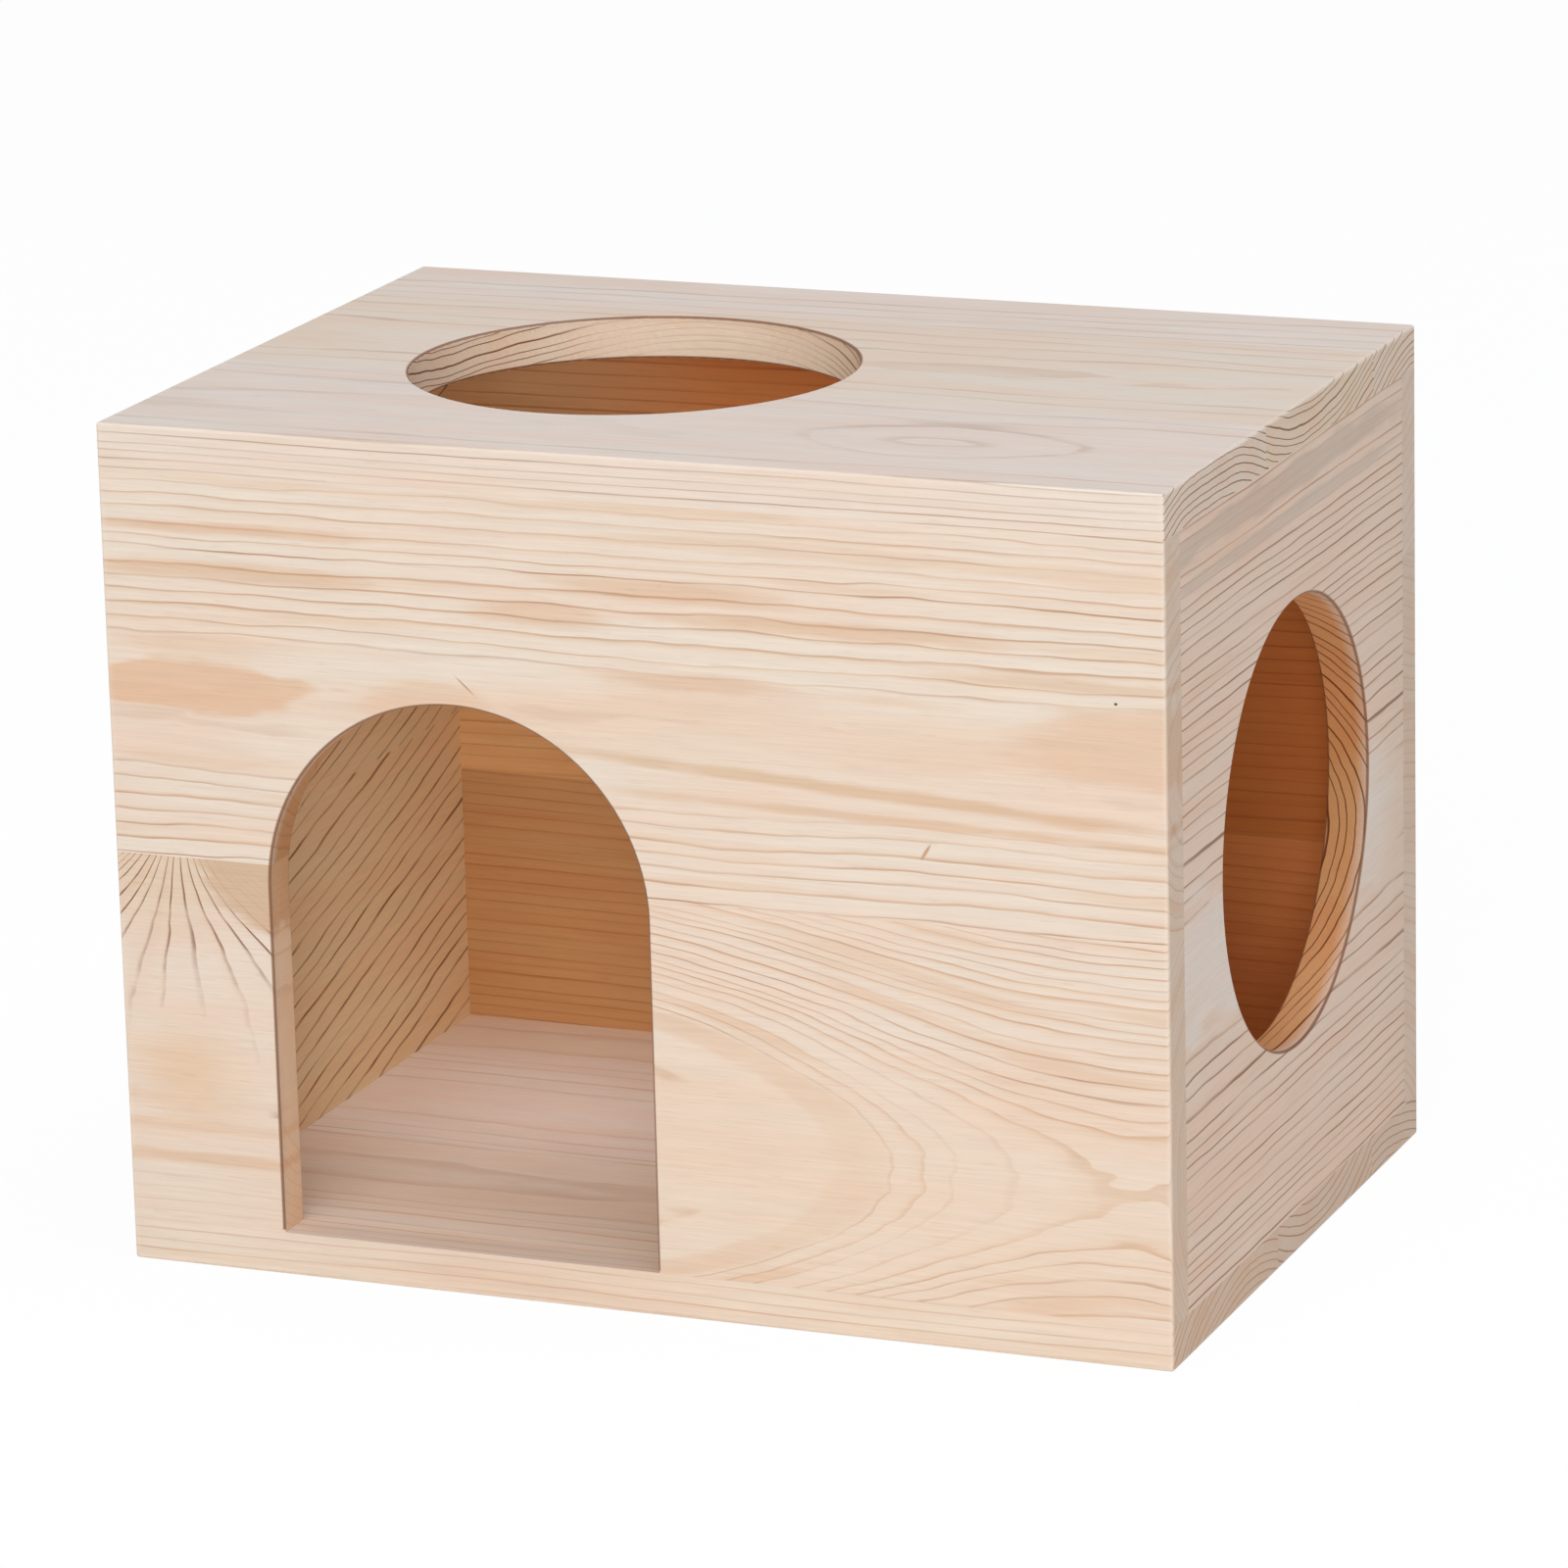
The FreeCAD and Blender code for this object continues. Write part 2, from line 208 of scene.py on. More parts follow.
@dataclass(frozen=True)
class Figure:
    """The figure of one board: its heart, its ring widths and how strongly its rings show.

    Rings out to young are wide mm each and the others ring mm, and first shifts their count. sway and
    ripple are how far they stray in long and in short waves, in mm, and seed sets one plank apart
    from another. lines and end_lines are the strength of the late-wood lines on the sides and on end
    grain, and bands that of the tan wood before them. line is the lines' tone, and inner_line that on
    inner faces.

    tint is the tone of the whole board and end that of its end grain. Its inner face carries painted
    light: it passes from inner, a tone that paints light bounced about inside the box, to deep, a
    darker one that paints shade, where along passes from one end of turn_gold to the other, and its
    lines take inner_line, which paints shade on them too. Those painted tones run on into an
    opening's wall, which may have one of its own, reveal, and give way between the two depths of
    gold_fade, in mm from the inner face.
    """

    heart: Heart
    ring: float
    young: float = 0.0
    wide: float = 4.0
    first: float = 0.0
    sway: float = 0.8
    ripple: float = 0.18
    lines: float = 0.8
    bands: float = 0.55
    end_lines: float = 0.8
    line: str = "#B07F57"
    inner_line: str = "#A2724B"
    seed: float = 0.0
    tint: str = NO_TONE
    end: str = "#F1E7DD"
    # Painted light and shade of the inner faces and of the openings' walls.
    inner: str = "#FFFAF0"
    deep: str = "#FFCB94"
    turn_gold: Pair = (900.0, 999.0)
    reveal: str = ""
    gold_fade: Pair = (0.2, 3.0)
    swells: tuple[Swell, ...] = ()
    fan: Fan | None = None
    patches: tuple[Patch, ...] = ()


# The numbers of a figure that the shared group of growth rings takes, each in an input of its name.
RING_NUMBERS = (
    "ring",
    "young",
    "wide",
    "first",
    "sway",
    "ripple",
    "lines",
    "bands",
    "end_lines",
    "seed",
)


@dataclass(frozen=True)
class Opening:
    """An opening of the house, in mm from the middle of the box: a circle, or an arch if upright.

    plane is 1 along the two axes of its wall and axis is 1 along the third, on which centre is the
    middle of the wall's thickness. Below its middle an arch runs straight down, and its rim ends at
    foot, in mm up from that middle.
    """

    middle: Triple
    plane: Triple
    axis: Triple
    centre: float
    radius: float
    upright: bool = False
    foot: float = -63.6


OPENINGS = (
    Opening((-26, 0, 0), (1, 1, 0), (0, 0, 1), HALF_HEIGHT - BOARD / 2, 41),
    Opening((0, 0, 2), (0, 1, 1), (1, 0, 0), HALF_WIDTH - BOARD / 2, 41),
    Opening((-33, 0, -5.5), (1, 0, 1), (0, 1, 0), BOARD / 2 - HALF_DEPTH, 36.5, upright=True),
)


@dataclass(frozen=True)
class Mottle:
    """Unevenness of the wood, drawn as a noise.

    grain is the size of its spots along, across and down the board, in mm, and offset sets it apart
    from the others. detail is the number of finer layers, and between the two values of span it goes
    from no effect to its full one.
    """

    grain: Triple
    offset: float
    detail: float = 1.0
    span: Pair = (0.0, 1.0)

    def draw(self, add: Add, place: Socket, shift: Socket) -> Socket:
        """Add the noise.

        Args:
            add: The graph's own add.
            place: The board's own place in mm.
            shift: The board's own shift, by which planks differ.

        Returns:
            A value that strays by a half each way from 0.5.
        """
        moved = add("VectorMath", shift, (self.offset,) * 3, operation="ADD")
        stretch = tuple(1 / size for size in self.grain)
        at = add("VectorMath", place, stretch, moved, operation="MULTIPLY_ADD")
        return add("TexNoise", at, 1.0, self.detail, 0.5)


@dataclass(frozen=True)
class SandedPine:
    """Scots pine, planed and sanded, with no oil or lacquer.

    The pale early wood takes most of a ring. It darkens slowly to the tan late wood, which stops at a
    sharp line. Sanding leaves fine scratches along the grain and rounds the arrises, and the bare
    wood is dull, more so on its thirsty end grain.

    A season runs from 0 in spring to 1 in autumn. Late wood builds up over late_season, and its line
    sets in over rise_season and stops over fall_season. Grains and reaches are in mm, the depth of
    the bump is in metres, and shares and strengths run from 0 to 1.
    """

    name: str = "sanded_pine"
    early: str = "#E9DCCE"
    early_warm: str = "#EAD6C5"
    late: str = "#DDB48E"
    pore: str = "#C59C78"
    # The paler tone of a rubbed arris, which also paints the highlight along it, and the brown of a
    # rim.
    arris: str = "#F3E4D2"
    rim: str = "#82522F"
    # How much brighter inner faces are painted, in place of light bounced about inside the box.
    painted_light_gain: float = 1.16

    # Waves of the rings, stretches where lines fade, and the drift between cream and peach.
    sway: Mottle = Mottle((75, 16, 16), 1.7)
    ripple: Mottle = Mottle((15, 4, 4), 8.3)
    fade: Mottle = Mottle((34, 5, 5), 4.1, span=(0.34, 0.6))
    drift: Mottle = Mottle((60, 9, 9), 12.9, detail=2.0, span=(0.35, 0.65))
    # Scratches of the sander, as fine as show, and resin canals, which are short thin dashes.
    fibre: Mottle = Mottle((14, 1 / 2.4, 1 / 2.4), 20.3, detail=2.0, span=(0.3, 0.7))
    canal: Mottle = Mottle((5, 1 / 3.1, 1 / 3.1), 31.7, detail=0.0, span=(0.7, 0.78))
    canal_share: float = 0.14
    fibre_shade: Pair = (0.955, 1.035)

    # Uneven years: how fast they change from ring to ring, and by how many rings they shift the count.
    years_pace: float = 0.31
    years_shift: float = 1.1
    # Groups of rings that are darker than others, two or three at a time.
    group_pace: float = 0.43
    group_span: Pair = (0.32, 0.66)
    # How strong the palest ring, the palest group and a faded stretch still are.
    least_ring: float = 0.4
    least_group: float = 0.12
    least_fade: float = 0.35

    late_season: Pair = (0.35, 1.0)
    late_power: float = 2.2
    rise_season: Pair = (0.8, 0.94)
    fall_season: Pair = (0.975, 1.0)
    # Soft tan streaks that lie in the rings, by length and width.
    streak_grain: Pair = (55, 3.2)
    streak_span: Pair = (0.52, 0.72)
    streak_share: float = 0.6

    # How far a surface faces along the grain before it counts as end grain.
    end_turn: Pair = (0.45, 0.9)
    # The least and the greatest width rubbed along an arris, by a noise with so many waves to the mm.
    arris_reach: Pair = (0.5, 1.8)
    arris_share: float = 0.35
    wear_pace: float = 0.09
    wear_span: Pair = (0.3, 0.7)
    # Where the brown of a rim fades out.
    rim_reach: Pair = (0.3, 0.6)
    rim_share: float = 0.85
    # How far behind an inner face its painted tone gives way to an opening wall's painted tone.
    face_depth: Pair = (0.1, 0.4)
    # The noise by which the edges of patches stray.
    stray_grain: Triple = (16, 3.5, 3.5)

    roughness: float = 0.62
    roughness_stray: float = 0.06
    end_roughness: float = 0.8
    line_polish: float = 0.1
    arris_polish: float = 0.3
    ior: float = 1.5
    specular: float = 0.35
    bump_strength: float = 0.25
    bump_depth: float = 0.00012
    line_height: float = 0.6
    late_height: float = 0.3

    def rings(self) -> bpy.types.NodeTree:
        """Build the shared group that draws growth rings from a distance to the heart.

        Returns:
            A group that gives Colour, Roughness and Height.
        """
        tree = bpy.data.node_groups.new("pine_growth_rings", "ShaderNodeTree")
        inputs = {"Place": "Vector", "Distance": "Float", "End": "Float", "Quiet": "Float"}
        inputs |= {"Tone": "Color", "Line Tone": "Color", "End Tone": "Color"}
        inputs |= dict.fromkeys(RING_NUMBERS, "Float")
        for label, kind in inputs.items():
            tree.interface.new_socket(label, in_out="INPUT", socket_type=f"NodeSocket{kind}")
        for label, kind in (("Colour", "Color"), ("Roughness", "Float"), ("Height", "Float")):
            tree.interface.new_socket(label, in_out="OUTPUT", socket_type=f"NodeSocket{kind}")
        add = Graph(tree).add
        given = {socket.name: socket for socket in add("NodeGroupInput").node.outputs}
        place, seed, end, quiet = (given[label] for label in ("Place", "seed", "End", "Quiet"))
        shift = add("CombineXYZ", seed, seed, seed)

        # The rings sway slowly along the board and ripple a little. The noise strays by a half each
        # way, hence the 2.
        sway = add("Math", self.sway.draw(add, place, shift), 0.5, operation="SUBTRACT")
        sway = add("Math", sway, given["sway"], operation="MULTIPLY")
        ripple = add("Math", self.ripple.draw(add, place, shift), 0.5, operation="SUBTRACT")
        ripple = add("Math", ripple, given["ripple"], operation="MULTIPLY")
        distance = add("Math", sway, 2.0, given["Distance"], operation="MULTIPLY_ADD")
        distance = add("Math", ripple, 2.0, distance, operation="MULTIPLY_ADD")
        # A young tree grows wide rings. Good and bad years make the ring count run unevenly.
        young = add("Math", distance, given["young"], operation="MINIMUM")
        grown = add("Math", distance, young, operation="SUBTRACT")
        grown = add("Math", grown, given["ring"], operation="DIVIDE")
        young = add("Math", young, given["wide"], operation="DIVIDE")
        count = add("Math", young, grown, operation="ADD")
        years = add("Math", count, self.years_pace, seed, operation="MULTIPLY_ADD")
        years = add("TexNoise", years, 1.0, 1.0, 0.5, noise_dimensions="1D")
        years = add("Math", years, self.years_shift, given["first"], operation="MULTIPLY_ADD")
        count = add("Math", count, years, operation="ADD")
        year = add("Math", count, operation="FLOOR")
        season = add("Math", count, operation="FRACT")

        # Each ring has a strength of its own, and so has each group of rings.
        strength = add("Math", year, seed, operation="ADD")
        strength = add("TexWhiteNoise", strength, noise_dimensions="1D")
        strength = add("MapRange", strength, 0.0, 1.0, self.least_ring, 1.0)
        group = add("Math", year, self.group_pace, seed, operation="MULTIPLY_ADD")
        group = add("TexNoise", group, 1.0, 0.0, 0.5, noise_dimensions="1D")
        group = add("MapRange", group, *self.group_span, self.least_group, 1.0)
        fade = self.fade.draw(add, place, shift)
        fade = add("MapRange", fade, *self.fade.span, self.least_fade, 1.0)

        # Late wood rises through the season, and streaks lie in it. A quiet place stills it less
        # than the lines.
        late = add("MapRange", season, *self.late_season, 0.0, 1.0)
        late = add("Math", late, self.late_power, operation="POWER")
        late = add("Math", late, group, operation="MULTIPLY")
        lane = add("CombineXYZ", add("SeparateXYZ", place), distance, seed)
        stretch = (1 / self.streak_grain[0], 1 / self.streak_grain[1], 1.0)
        lane = add("VectorMath", lane, stretch, operation="MULTIPLY")
        streak = add("TexNoise", lane, 1.0, 1.0, 0.5)
        streak = add("MapRange", streak, *self.streak_span, 0.0, self.streak_share, **SMOOTH)
        late = add("Math", late, streak, operation="MAXIMUM")
        late = add("Math", late, given["bands"], operation="MULTIPLY")
        still = add("Math", quiet, quiet, operation="MULTIPLY", use_clamp=True)
        soft = add("Math", 1.0, still, operation="SUBTRACT")
        late = add("Math", late, soft, operation="MULTIPLY")
        # The line is the last and darkest part of the late wood.
        rise = add("MapRange", season, *self.rise_season, 0.0, 1.0, **SMOOTH)
        fall = add("MapRange", season, *self.fall_season, 1.0, 0.0)
        line = add("Math", rise, fall, operation="MULTIPLY")
        level = add("Math", strength, fade, operation="MULTIPLY")
        level = add("Math", level, given["lines"], operation="MULTIPLY")
        loud = add("Math", 1.0, quiet, operation="SUBTRACT", use_clamp=True)
        level = add("Math", level, loud, operation="MULTIPLY")
        level = add("Mix", end, level, given["end_lines"], data_type="FLOAT")
        line = add("Math", line, level, operation="MULTIPLY", use_clamp=True)

        # Early wood drifts between cream and peach in long streaks.
        drift = self.drift.draw(add, place, shift)
        drift = add("MapRange", drift, *self.drift.span, 0.0, 1.0)
        colour = add("Mix", drift, linear(self.early), linear(self.early_warm), data_type="RGBA")
        colour = add("Mix", late, colour, linear(self.late), data_type="RGBA")
        colour = add("Mix", line, colour, given["Line Tone"], data_type="RGBA")
        fibre = self.fibre.draw(add, place, shift)
        shade = add("MapRange", fibre, *self.fibre.span, *self.fibre_shade)
        colour = add("VectorMath", colour, shade, operation="SCALE")
        canal = self.canal.draw(add, place, shift)
        canal = add("MapRange", canal, *self.canal.span, 0.0, self.canal_share)
        colour = add("Mix", canal, colour, linear(self.pore), data_type="RGBA")
        # End grain drinks light, and the board's own tone goes over all.
        shaded = add("Mix", 1.0, colour, given["End Tone"], **MULTIPLY)
        colour = add("Mix", end, colour, shaded, data_type="RGBA")
        colour = add("Mix", 1.0, colour, given["Tone"], **MULTIPLY)

        dull = (self.roughness - self.roughness_stray, self.roughness + self.roughness_stray)
        rough = add("MapRange", fibre, *self.fibre.span, *dull)
        rough = add("Math", line, -self.line_polish, rough, operation="MULTIPLY_ADD")
        rough = add("Mix", end, rough, self.end_roughness, data_type="FLOAT")
        height = add("Math", line, self.line_height, fibre, operation="MULTIPLY_ADD")
        height = add("Math", late, self.late_height, height, operation="MULTIPLY_ADD")
        add("NodeGroupOutput", colour, rough, height)
        return tree

    def edges(self) -> bpy.types.NodeTree:
        """Build the shared group that finds the sanded arrises and rims of the house.

        Returns:
            A group that gives Arris, 1 on the box's rounded edges, Rim, 1 on the openings', and
            Cavity, how far a point lies outwards of the inner faces, in mm.
        """
        tree = bpy.data.node_groups.new("house_edges", "ShaderNodeTree")
        for label in ("Arris", "Rim", "Cavity"):
            tree.interface.new_socket(label, in_out="OUTPUT", socket_type="NodeSocketFloat")
        add = Graph(tree).add
        here = add("TexCoord", out="Object")
        here = add("VectorMath", here, (0, 0, -HALF_HEIGHT / MM), operation="ADD")
        here = add("VectorMath", here, (MM, MM, MM), operation="MULTIPLY")
        folded = add("VectorMath", here, operation="ABSOLUTE")
        half = (HALF_WIDTH, HALF_DEPTH, HALF_HEIGHT)
        inset = add("VectorMath", half, folded, operation="SUBTRACT")
        gaps = add("SeparateXYZ", inset).node.outputs
        # The middle one of the three distances to the box's faces is small along an arris only.
        lower = add("Math", gaps[0], gaps[1], operation="MINIMUM")
        upper = add("Math", gaps[0], gaps[1], operation="MAXIMUM")
        upper = add("Math", upper, gaps[2], operation="MINIMUM")
        arris = add("Math", lower, upper, operation="MAXIMUM")
        # The sander takes more of an arris in some places than in others.
        wear = add("TexNoise", here, self.wear_pace, 3.0, 0.6)
        reach = add("MapRange", wear, *self.wear_span, *self.arris_reach)
        arris = add("MapRange", arris, 0.0, reach, 1.0, 0.0, **SMOOTH)

        nearest, *others = (self.rim_distance(add, here, opening) for opening in OPENINGS)
        for other in others:
            nearest = add("Math", nearest, other, operation="MINIMUM")
        rim = add("MapRange", nearest, *self.rim_reach, 1.0, 0.0, **SMOOTH)
        room = tuple(edge - BOARD for edge in half)
        beyond = add("VectorMath", folded, room, operation="SUBTRACT")
        beyond = add("SeparateXYZ", beyond).node.outputs
        cavity = add("Math", beyond[0], beyond[1], operation="MAXIMUM")
        cavity = add("Math", cavity, beyond[2], operation="MAXIMUM")
        add("NodeGroupOutput", arris, rim, cavity)
        return tree

    def rim_distance(self, add: Add, here: Socket, opening: Opening) -> Socket:
        """Work out how far each point lies from the two rims of an opening.

        Args:
            add: The graph's own add.
            here: The place from the middle of the box, in mm.
            opening: The opening.

        Returns:
            The larger of the distances along the wall and through it, in mm.
        """
        flat = add("VectorMath", here, opening.middle, operation="SUBTRACT")
        flat = add("VectorMath", flat, opening.plane, operation="MULTIPLY")
        if opening.upright:
            parts = add("SeparateXYZ", flat).node.outputs
            rise = add("Math", parts[2], 0.0, operation="MAXIMUM")
            below = add("Math", opening.foot, parts[2], operation="SUBTRACT")
            flat = add("CombineXYZ", parts[0], parts[1], rise)
        off = add("VectorMath", flat, out="Value", operation="LENGTH")
        off = add("Math", off, opening.radius, operation="SUBTRACT")
        if opening.upright:
            off = add("Math", off, below, operation="MAXIMUM")
        off = add("Math", off, operation="ABSOLUTE")
        deep = add("VectorMath", here, opening.axis, out="Value", operation="DOT_PRODUCT")
        deep = add("Math", deep, opening.centre, operation="SUBTRACT")
        deep = add("Math", deep, operation="ABSOLUTE")
        deep = add("Math", BOARD / 2, deep, operation="SUBTRACT")
        deep = add("Math", deep, operation="ABSOLUTE")
        return add("Math", off, deep, operation="MAXIMUM")

    def distance(self, add: Add, place: Socket, figure: Figure) -> Socket:
        """Work out how far each point of a board lies from the heart of its tree.

        The heart is a line that climbs, dives and sags, and swells push the rings outwards.

        Args:
            add: The graph's own add.
            place: The board's own place in mm.
            figure: The board's figure.

        Returns:
            The distance in mm.
        """
        heart = figure.heart
        along, across, depth = add("SeparateXYZ", place).node.outputs
        aside = add("Math", along, -heart.climb, across, operation="MULTIPLY_ADD")
        aside = add("Math", aside, heart.across, operation="SUBTRACT")
        under = add("Math", along, -heart.dive, depth, operation="MULTIPLY_ADD")
        under = add("Math", under, heart.depth, operation="SUBTRACT")
        if heart.sag:
            square = add("Math", along, along, operation="MULTIPLY")
            under = add("Math", square, -heart.sag, under, operation="MULTIPLY_ADD")
        way = add("CombineXYZ", aside, under, 0.0)
        distance = add("VectorMath", way, out="Value", operation="LENGTH")
        for swell in figure.swells:
            near = add("Mapping", place, swell.middle, None, swell.reach, vector_type="TEXTURE")
            near = add("VectorMath", near, near, out="Value", operation="DOT_PRODUCT")
            near = add("Math", near, -1.0, operation="MULTIPLY")
            near = add("Math", near, operation="EXPONENT")
            distance = add("Math", near, swell.height, distance, operation="MULTIPLY_ADD")
        if figure.fan:
            fan = figure.fan
            aside = add("Math", along, fan.middle[0], operation="SUBTRACT")
            below = add("Math", fan.middle[1], across, operation="SUBTRACT")
            below = add("Math", below, fan.reach, operation="DIVIDE")
            below = add("Math", below, operation="TANH")
            below = add("Math", below, -fan.flare, operation="MULTIPLY")
            drawn_in = add("Math", below, operation="EXPONENT")
            spread = add("Math", aside, drawn_in, operation="MULTIPLY")
            widen = figure.ring / fan.ring
            spread = add("Math", spread, widen, fan.start, operation="MULTIPLY_ADD")
            share = add("MapRange", across, *fan.fade, 0.0, 1.0, **SMOOTH)
            distance = add("Mix", share, distance, spread, data_type="FLOAT")
        return distance

    def patches(self, add: Add, place: Socket, figure: Figure) -> tuple[Any, Any]:
        """Work out where a board's patches still its rings and change its tone.

        A patch is an ellipse whose edge strays with a noise that is drawn out along the grain.

        Args:
            add: The graph's own add.
            place: The board's own place in mm.
            figure: The board's figure.

        Returns:
            How quiet the rings are, and the tone that multiplies the wood's colour.
        """
        quiet, tone = 0.0, linear(figure.tint)
        if figure.patches:
            stretch = tuple(1 / size for size in self.stray_grain)
            stray = add("VectorMath", place, stretch, operation="MULTIPLY")
            stray = add("TexNoise", stray, 1.0, 2.0, 0.5)
            stray = add("Math", stray, 0.5, operation="SUBTRACT")
            flat = add("VectorMath", place, (1, 1, 0), operation="MULTIPLY")
        for patch in figure.patches:
            turn = (0.0, 0.0, math.radians(patch.turn))
            middle, reach = (*patch.middle, 0), (*patch.reach, 1)
            near = add("Mapping", flat, middle, turn, reach, vector_type="TEXTURE")
            off = add("VectorMath", near, out="Value", operation="LENGTH")
            off = add("Math", stray, patch.wander, off, operation="MULTIPLY_ADD")
            mask = add("MapRange", off, 1 - patch.soft, 1 + patch.soft, 1.0, 0.0, **SMOOTH)
            quiet = add("Math", mask, patch.quiet, quiet, operation="MULTIPLY_ADD", use_clamp=True)
            tone = add("Mix", mask, tone, linear(patch.tone), data_type="RGBA")
        return quiet, tone

    def material(self, name: str, lay: Lay, figure: Figure) -> bpy.types.Material:
        """Make the finish of one board.

        Args:
            name: The board's node name.
            lay: How its panel lies.
            figure: Its figure.

        Returns:
            The material.
        """
        made, graph = new_material(f"{self.name}_{name}")
        add = graph.add
        degrees, signs, shift = lay.value
        turn = tuple(math.radians(angle) for angle in degrees)
        scale = tuple(sign * MM for sign in signs)
        coords = add("TexCoord", out="Object")
        place = add("Mapping", coords, shift, turn, scale, vector_type="POINT")
        facing = add("Mapping", coords.node.outputs["Normal"], (0, 0, 0), turn, signs)
        end = add("SeparateXYZ", facing)
        end = add("Math", end, operation="ABSOLUTE")
        end = add("MapRange", end, *self.end_turn, 0.0, 1.0, **SMOOTH)
        distance = self.distance(add, place, figure)
        quiet, tone = self.patches(add, place, figure)
        edges = add("Group", node_tree=bpy.data.node_groups["house_edges"]).node.outputs
        # Inner faces and the deep part of an opening's wall take painted light and shade, and darker
        # lines.
        inner = add("MapRange", edges["Cavity"], *figure.gold_fade, 1.0, 0.0)
        tones = (linear(figure.line), linear(figure.inner_line))
        line = add("Mix", inner, *tones, data_type="RGBA")
        given = (place, distance, end, quiet, tone, line, linear(figure.end))
        numbers = (getattr(figure, number) for number in RING_NUMBERS)
        group = bpy.data.node_groups["pine_growth_rings"]
        rings = add("Group", *given, *numbers, node_tree=group).node.outputs
        # Sanded arrises are rubbed smoother and paler, and their paler tone also paints the highlight
        # along them. The rims of the openings are darker brown in a thin line.
        worn_and_lit = add("Math", edges["Arris"], self.arris_share, operation="MULTIPLY")
        colour = add("Mix", worn_and_lit, rings["Colour"], linear(self.arris), data_type="RGBA")
        rim_darkening = add("Math", edges["Rim"], self.rim_share, operation="MULTIPLY")
        colour = add("Mix", rim_darkening, colour, linear(self.rim), data_type="RGBA")
        # Inner faces carry painted light: a tone for light bounced about inside the box, brightened by
        # a gain, that turns along the board to a darker painted shade, with a painted tone of its own
        # on an opening's wall.
        along = add("SeparateXYZ", place)
        deep = add("MapRange", along, *figure.turn_gold, 0.0, 1.0, **SMOOTH)
        painted_light_tone = add("Mix", deep, linear(figure.inner), linear(figure.deep), data_type="RGBA")
        if figure.reveal:
            face = add("MapRange", edges["Cavity"], *self.face_depth, 1.0, 0.0)
            painted_light_tone = add("Mix", face, linear(figure.reveal), painted_light_tone, data_type="RGBA")
        painted_light_colour = add("Mix", 1.0, colour, painted_light_tone, **MULTIPLY)
        painted_light_colour = add("VectorMath", painted_light_colour, self.painted_light_gain, operation="SCALE")
        colour = add("Mix", inner, colour, painted_light_colour, data_type="RGBA")
        rough = add("Math", worn_and_lit, -self.arris_polish, rings["Roughness"], operation="MULTIPLY_ADD")
        bump = add("Bump", self.bump_strength, self.bump_depth, None, rings["Height"])
        shader = add("BsdfPrincipled", colour, 0.0, rough, self.ior)
        made.node_tree.links.new(bump, shader.node.inputs["Normal"])
        shader.node.inputs["Specular IOR Level"].default_value = self.specular
        add("OutputMaterial", shader)
        return made


@dataclass(frozen=True)
class TurnedBeech:
    """Beech dowel rod, 4 mm, turned and fluted smooth: short dark flecks on even pinkish wood."""

    name: str = "turned_beech"
    wood: str = "#D9B08A"
    wood_warm: str = "#CFA27A"
    fleck: str = "#A9764C"
    # Flecks to the metre each way, so that they are 0.3 mm wide and 2 mm high.
    fleck_pace: Triple = (3300, 3300, 500)
    fleck_span: Pair = (0.55, 0.7)
    fleck_share: float = 0.7
    # Drifts of tone to the metre.
    drift_pace: float = 90.0
    drift_span: Pair = (0.3, 0.7)
    roughness: Pair = (0.45, 0.58)
    ior: float = 1.5
    bump_strength: float = 0.2
    bump_depth: float = 0.0001

    def material(self) -> bpy.types.Material:
        """Make the finish of the dowels.

        Returns:
            The material.
        """
        made, graph = new_material(self.name)
        add = graph.add
        coords = add("TexCoord", out="Object")
        stretched = add("Mapping", coords, None, None, self.fleck_pace)
        flecks = add("TexNoise", stretched, 1.0, 1.0)
        fleck = add("MapRange", flecks, *self.fleck_span, 0.0, self.fleck_share)
        drift = add("TexNoise", coords, self.drift_pace, 2.0)
        wood = add("Mix", drift, linear(self.wood), linear(self.wood_warm), data_type="RGBA")
        colour = add("Mix", fleck, wood, linear(self.fleck), data_type="RGBA")
        rough = add("MapRange", drift, *self.drift_span, *self.roughness)
        shader = add("BsdfPrincipled", colour, 0.0, rough, self.ior)
        bump = add("Bump", self.bump_strength, self.bump_depth, None, flecks)
        made.node_tree.links.new(bump, shader.node.inputs["Normal"])
        add("OutputMaterial", shader)
        return made


@dataclass
class Panel:
    """A glued-up panel of the house: its boards by node name, each with a figure of its own."""

    lay: Lay
    boards: dict[str, Figure] = field(default_factory=dict)

    def dress(self, pine: SandedPine) -> None:
        """Give each board its finish.

        Args:
            pine: The finish that all boards share.
        """
        for name, figure in self.boards.items():
            apply_finish(name, pine.material(name, self.lay, figure), pine.name)


# What the boards of the roof share, and what those of the front and back walls share.
ROOF_BOARD = partial(
    Figure, line="#94704F", end_lines=1.4, end="#FBF5EE", inner=NO_TONE, gold_fade=(6.5, 7.9)
)
WALL_BOARD = partial(Figure, end_lines=0.12, end="#F3EDE7")


